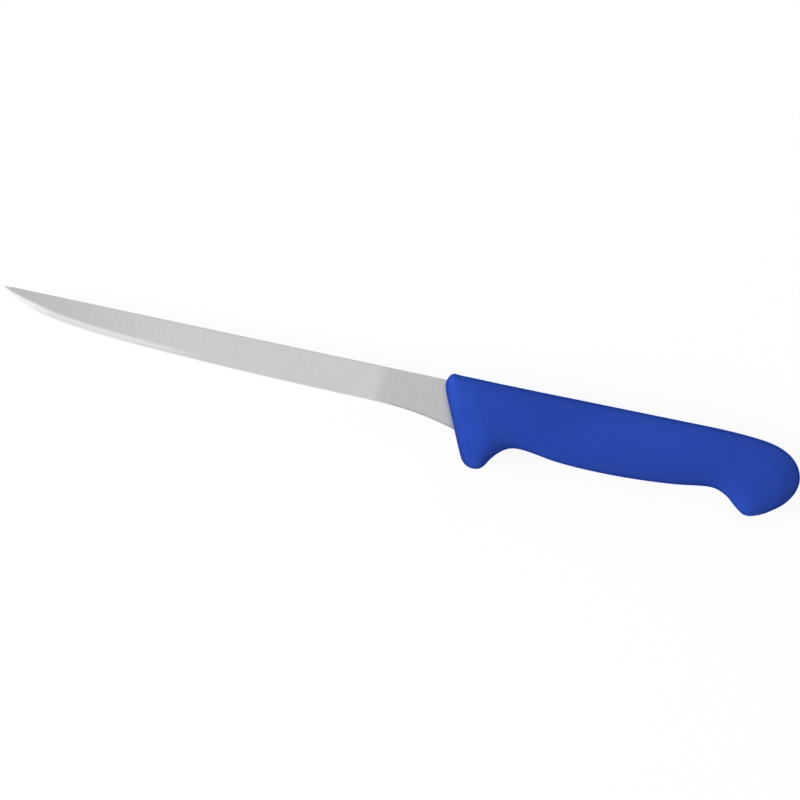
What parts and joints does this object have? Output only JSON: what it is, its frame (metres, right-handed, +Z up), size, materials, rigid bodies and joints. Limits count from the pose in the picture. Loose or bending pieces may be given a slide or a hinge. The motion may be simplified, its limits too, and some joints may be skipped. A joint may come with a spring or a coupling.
{
  "type": "fillet_knife",
  "caption": "Fillet knife with a narrow flexible steel blade and a one-piece moulded blue plastic handle with a finger guard and a hooked butt",
  "frame": {"origin": "centre of the underside of the box round the knife as it lies on its side", "axes": "+X from the tip of the blade to the butt, +Y to the back of the blade, +Z up out of the upper cheek"},
  "size_m": [0.3236, 0.0358, 0.02],
  "materials": {
    "satin_steel": "fine cross-ground satin",
    "blue_plastic": "fine matte moulding"
  },
  "bodies": {
    "root": {"blade": "satin_steel", "handle": "blue_plastic"}
  },
  "joints": []
}
